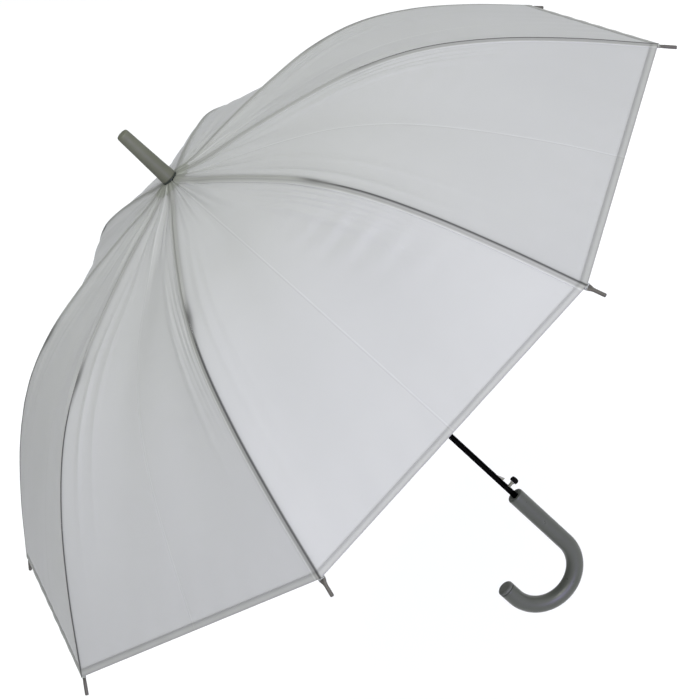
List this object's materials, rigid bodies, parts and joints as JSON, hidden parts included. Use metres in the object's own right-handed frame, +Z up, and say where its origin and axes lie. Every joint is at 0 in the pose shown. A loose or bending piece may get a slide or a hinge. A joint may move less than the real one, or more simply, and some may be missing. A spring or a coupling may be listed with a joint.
{
  "type": "stick umbrella",
  "caption": "Open stick umbrella with a translucent film canopy on hinged ribs, a sliding runner, a push-button catch and a J-shaped handle.",
  "frame": {"origin": "on the shaft's axis at the top face of the handle, where the hand holds it", "axes": "+Z up the shaft towards the ferrule; the handle's hook turns to -X and the push button is on +X"},
  "size_m": [0.9448, 0.9448, 0.8152],
  "materials": {
    "film": "matt translucent film with a faint sheen",
    "dark_film": "matt film, darker where it is doubled",
    "grey_plastic": "moulded, satin",
    "cap_plastic": "moulded, satin",
    "black_plastic": "moulded, low gloss",
    "black_steel": "black lacquered steel, gloss",
    "plain_steel": "bright drawn wire and pressed sheet",
    "glass_fibre": "pultruded rod, satin"
  },
  "bodies": {
    "shaft": {"shaft_tube": "black_steel", "ferrule": "grey_plastic", "film_washer": "black_plastic", "crown_patch": "dark_film", "top_notch": "black_plastic", "notch_wire": "plain_steel", "opening_spring": "plain_steel", "catch_spring": "plain_steel", "handle_grip": "grey_plastic", "handle_end_cap": "cap_plastic"},
    "runner": {"runner": "black_plastic"},
    "catch": {"runner_catch": "plain_steel"},
    "button": {"button_stem": "plain_steel", "release_button": "black_plastic"},
    "rib_1": {"inner_rib_1": "black_steel", "gore_1": "film"},
    "rod_1": {"outer_rib_1": "glass_fibre", "rib_tip_1": "grey_plastic"},
    "stretcher_1": {"stretcher_1": "black_steel"},
    "rib_2": {"inner_rib_2": "black_steel", "gore_2": "film"},
    "rod_2": {"outer_rib_2": "glass_fibre", "rib_tip_2": "grey_plastic"},
    "stretcher_2": {"stretcher_2": "black_steel"},
    "rib_3": {"inner_rib_3": "black_steel", "gore_3": "film"},
    "rod_3": {"outer_rib_3": "glass_fibre", "rib_tip_3": "grey_plastic"},
    "stretcher_3": {"stretcher_3": "black_steel"},
    "rib_4": {"inner_rib_4": "black_steel", "gore_4": "film"},
    "rod_4": {"outer_rib_4": "glass_fibre", "rib_tip_4": "grey_plastic"},
    "stretcher_4": {"stretcher_4": "black_steel"},
    "rib_5": {"inner_rib_5": "black_steel", "gore_5": "film"},
    "rod_5": {"outer_rib_5": "glass_fibre", "rib_tip_5": "grey_plastic"},
    "stretcher_5": {"stretcher_5": "black_steel"},
    "rib_6": {"inner_rib_6": "black_steel", "gore_6": "film"},
    "rod_6": {"outer_rib_6": "glass_fibre", "rib_tip_6": "grey_plastic"},
    "stretcher_6": {"stretcher_6": "black_steel"},
    "rib_7": {"inner_rib_7": "black_steel", "gore_7": "film"},
    "rod_7": {"outer_rib_7": "glass_fibre", "rib_tip_7": "grey_plastic"},
    "stretcher_7": {"stretcher_7": "black_steel"},
    "rib_8": {"inner_rib_8": "black_steel", "gore_8": "film"},
    "rod_8": {"outer_rib_8": "glass_fibre", "rib_tip_8": "grey_plastic"},
    "stretcher_8": {"stretcher_8": "black_steel"}
  },
  "joints": [
    {"name": "rib_1_fold", "type": "hinge", "parent": "shaft", "child": "rib_1", "pos_m": [0.00785, 0.00325, 0.5805], "axis": [-0.3827, 0.9239, 0], "range_deg": [0, 78.5], "stiffness_Nm_per_rad": 2.5, "springref_deg": -57.3, "deforming": ["gore_1", "gore_2", "gore_3", "gore_4", "gore_5", "gore_6", "gore_7", "gore_8", "opening_spring"]},
    {"name": "rib_2_fold", "type": "hinge", "parent": "shaft", "child": "rib_2", "pos_m": [0.00325, 0.00785, 0.5805], "axis": [-0.9239, 0.3827, 0], "range_deg": [0, 78.6]},
    {"name": "rib_3_fold", "type": "hinge", "parent": "shaft", "child": "rib_3", "pos_m": [-0.00325, 0.00785, 0.5805], "axis": [-0.9239, -0.3827, 0], "range_deg": [0, 78.6]},
    {"name": "rib_4_fold", "type": "hinge", "parent": "shaft", "child": "rib_4", "pos_m": [-0.00785, 0.00325, 0.5805], "axis": [-0.3827, -0.9239, 0], "range_deg": [0, 78.6]},
    {"name": "rib_5_fold", "type": "hinge", "parent": "shaft", "child": "rib_5", "pos_m": [-0.00785, -0.00325, 0.5805], "axis": [0.3827, -0.9239, 0], "range_deg": [0, 78.6]},
    {"name": "rib_6_fold", "type": "hinge", "parent": "shaft", "child": "rib_6", "pos_m": [-0.00325, -0.00785, 0.5805], "axis": [0.9239, -0.3827, 0], "range_deg": [0, 78.6]},
    {"name": "rib_7_fold", "type": "hinge", "parent": "shaft", "child": "rib_7", "pos_m": [0.00325, -0.00785, 0.5805], "axis": [0.9239, 0.3827, 0], "range_deg": [0, 78.6]},
    {"name": "rib_8_fold", "type": "hinge", "parent": "shaft", "child": "rib_8", "pos_m": [0.00785, -0.00325, 0.5805], "axis": [0.3827, 0.9239, 0], "range_deg": [0, 78.6]},
    {"name": "rod_1_flex", "type": "hinge", "parent": "rib_1", "child": "rod_1", "pos_m": [0.23467, 0.0972, 0.5353], "axis": [0.3827, -0.9239, 0], "range_deg": [0, 28.84]},
    {"name": "stretcher_1_swing", "type": "hinge", "parent": "rib_1", "child": "stretcher_1", "pos_m": [0.22912, 0.09491, 0.5327], "axis": [0.3827, -0.9239, 0], "range_deg": [0, 139.16]},
    {"name": "rod_2_flex", "type": "hinge", "parent": "rib_2", "child": "rod_2", "pos_m": [0.0972, 0.23467, 0.5353], "axis": [0.9239, -0.3827, 0], "range_deg": [0, 28.84]},
    {"name": "stretcher_2_swing", "type": "hinge", "parent": "rib_2", "child": "stretcher_2", "pos_m": [0.09491, 0.22912, 0.5327], "axis": [0.9239, -0.3827, 0], "range_deg": [0, 139.16]},
    {"name": "rod_3_flex", "type": "hinge", "parent": "rib_3", "child": "rod_3", "pos_m": [-0.0972, 0.23467, 0.5353], "axis": [0.9239, 0.3827, 0], "range_deg": [0, 28.84]},
    {"name": "stretcher_3_swing", "type": "hinge", "parent": "rib_3", "child": "stretcher_3", "pos_m": [-0.09491, 0.22912, 0.5327], "axis": [0.9239, 0.3827, 0], "range_deg": [0, 139.16]},
    {"name": "rod_4_flex", "type": "hinge", "parent": "rib_4", "child": "rod_4", "pos_m": [-0.23467, 0.0972, 0.5353], "axis": [0.3827, 0.9239, 0], "range_deg": [0, 28.84]},
    {"name": "stretcher_4_swing", "type": "hinge", "parent": "rib_4", "child": "stretcher_4", "pos_m": [-0.22912, 0.09491, 0.5327], "axis": [0.3827, 0.9239, 0], "range_deg": [0, 139.16]},
    {"name": "rod_5_flex", "type": "hinge", "parent": "rib_5", "child": "rod_5", "pos_m": [-0.23467, -0.0972, 0.5353], "axis": [-0.3827, 0.9239, 0], "range_deg": [0, 28.84]},
    {"name": "stretcher_5_swing", "type": "hinge", "parent": "rib_5", "child": "stretcher_5", "pos_m": [-0.22912, -0.09491, 0.5327], "axis": [-0.3827, 0.9239, 0], "range_deg": [0, 139.16]},
    {"name": "rod_6_flex", "type": "hinge", "parent": "rib_6", "child": "rod_6", "pos_m": [-0.0972, -0.23467, 0.5353], "axis": [-0.9239, 0.3827, 0], "range_deg": [0, 28.84]},
    {"name": "stretcher_6_swing", "type": "hinge", "parent": "rib_6", "child": "stretcher_6", "pos_m": [-0.09491, -0.22912, 0.5327], "axis": [-0.9239, 0.3827, 0], "range_deg": [0, 139.16]},
    {"name": "rod_7_flex", "type": "hinge", "parent": "rib_7", "child": "rod_7", "pos_m": [0.0972, -0.23467, 0.5353], "axis": [-0.9239, -0.3827, 0], "range_deg": [0, 28.84]},
    {"name": "stretcher_7_swing", "type": "hinge", "parent": "rib_7", "child": "stretcher_7", "pos_m": [0.09491, -0.22912, 0.5327], "axis": [-0.9239, -0.3827, 0], "range_deg": [0, 139.16]},
    {"name": "rod_8_flex", "type": "hinge", "parent": "rib_8", "child": "rod_8", "pos_m": [0.23467, -0.0972, 0.5353], "axis": [-0.3827, -0.9239, 0], "range_deg": [0, 28.84]},
    {"name": "stretcher_8_swing", "type": "hinge", "parent": "rib_8", "child": "stretcher_8", "pos_m": [0.22912, -0.09491, 0.5327], "axis": [-0.3827, -0.9239, 0], "range_deg": [0, 139.16]},
    {"name": "runner_slide", "type": "slide", "parent": "shaft", "child": "runner", "axis": [0, 0, -1], "range_m": [0, 0.3341]},
    {"name": "button_press", "type": "slide", "parent": "shaft", "child": "button", "axis": [-1, 0, 0], "range_m": [0, 0.0028], "stiffness_N_per_m": 800, "springref_m": -0.0015},
    {"name": "catch_retract", "type": "slide", "parent": "shaft", "child": "catch", "axis": [-1, 0, 0], "range_m": [0, 0.00281]}
  ],
  "couplings": [
    {"joint": "rib_2_fold", "follows": "rib_1_fold", "ratio": 1},
    {"joint": "rib_3_fold", "follows": "rib_1_fold", "ratio": 1},
    {"joint": "rib_4_fold", "follows": "rib_1_fold", "ratio": 1},
    {"joint": "rib_5_fold", "follows": "rib_1_fold", "ratio": 1},
    {"joint": "rib_6_fold", "follows": "rib_1_fold", "ratio": 1},
    {"joint": "rib_7_fold", "follows": "rib_1_fold", "ratio": 1},
    {"joint": "rib_8_fold", "follows": "rib_1_fold", "ratio": 1},
    {"joint": "rod_1_flex", "follows": "rib_1_fold", "ratio": 0.36606},
    {"joint": "stretcher_1_swing", "follows": "rib_1_fold", "ratio": 1.7702},
    {"joint": "rod_2_flex", "follows": "rib_1_fold", "ratio": 0.36606},
    {"joint": "stretcher_2_swing", "follows": "rib_1_fold", "ratio": 1.7702},
    {"joint": "rod_3_flex", "follows": "rib_1_fold", "ratio": 0.36606},
    {"joint": "stretcher_3_swing", "follows": "rib_1_fold", "ratio": 1.7702},
    {"joint": "rod_4_flex", "follows": "rib_1_fold", "ratio": 0.36606},
    {"joint": "stretcher_4_swing", "follows": "rib_1_fold", "ratio": 1.7702},
    {"joint": "rod_5_flex", "follows": "rib_1_fold", "ratio": 0.36606},
    {"joint": "stretcher_5_swing", "follows": "rib_1_fold", "ratio": 1.7702},
    {"joint": "rod_6_flex", "follows": "rib_1_fold", "ratio": 0.36606},
    {"joint": "stretcher_6_swing", "follows": "rib_1_fold", "ratio": 1.7702},
    {"joint": "rod_7_flex", "follows": "rib_1_fold", "ratio": 0.36606},
    {"joint": "stretcher_7_swing", "follows": "rib_1_fold", "ratio": 1.7702},
    {"joint": "rod_8_flex", "follows": "rib_1_fold", "ratio": 0.36606},
    {"joint": "stretcher_8_swing", "follows": "rib_1_fold", "ratio": 1.7702},
    {"joint": "runner_slide", "follows": "rib_1_fold", "m_per_rad": 0.24349},
    {"joint": "catch_retract", "follows": "button_press", "ratio": 1}
  ]
}
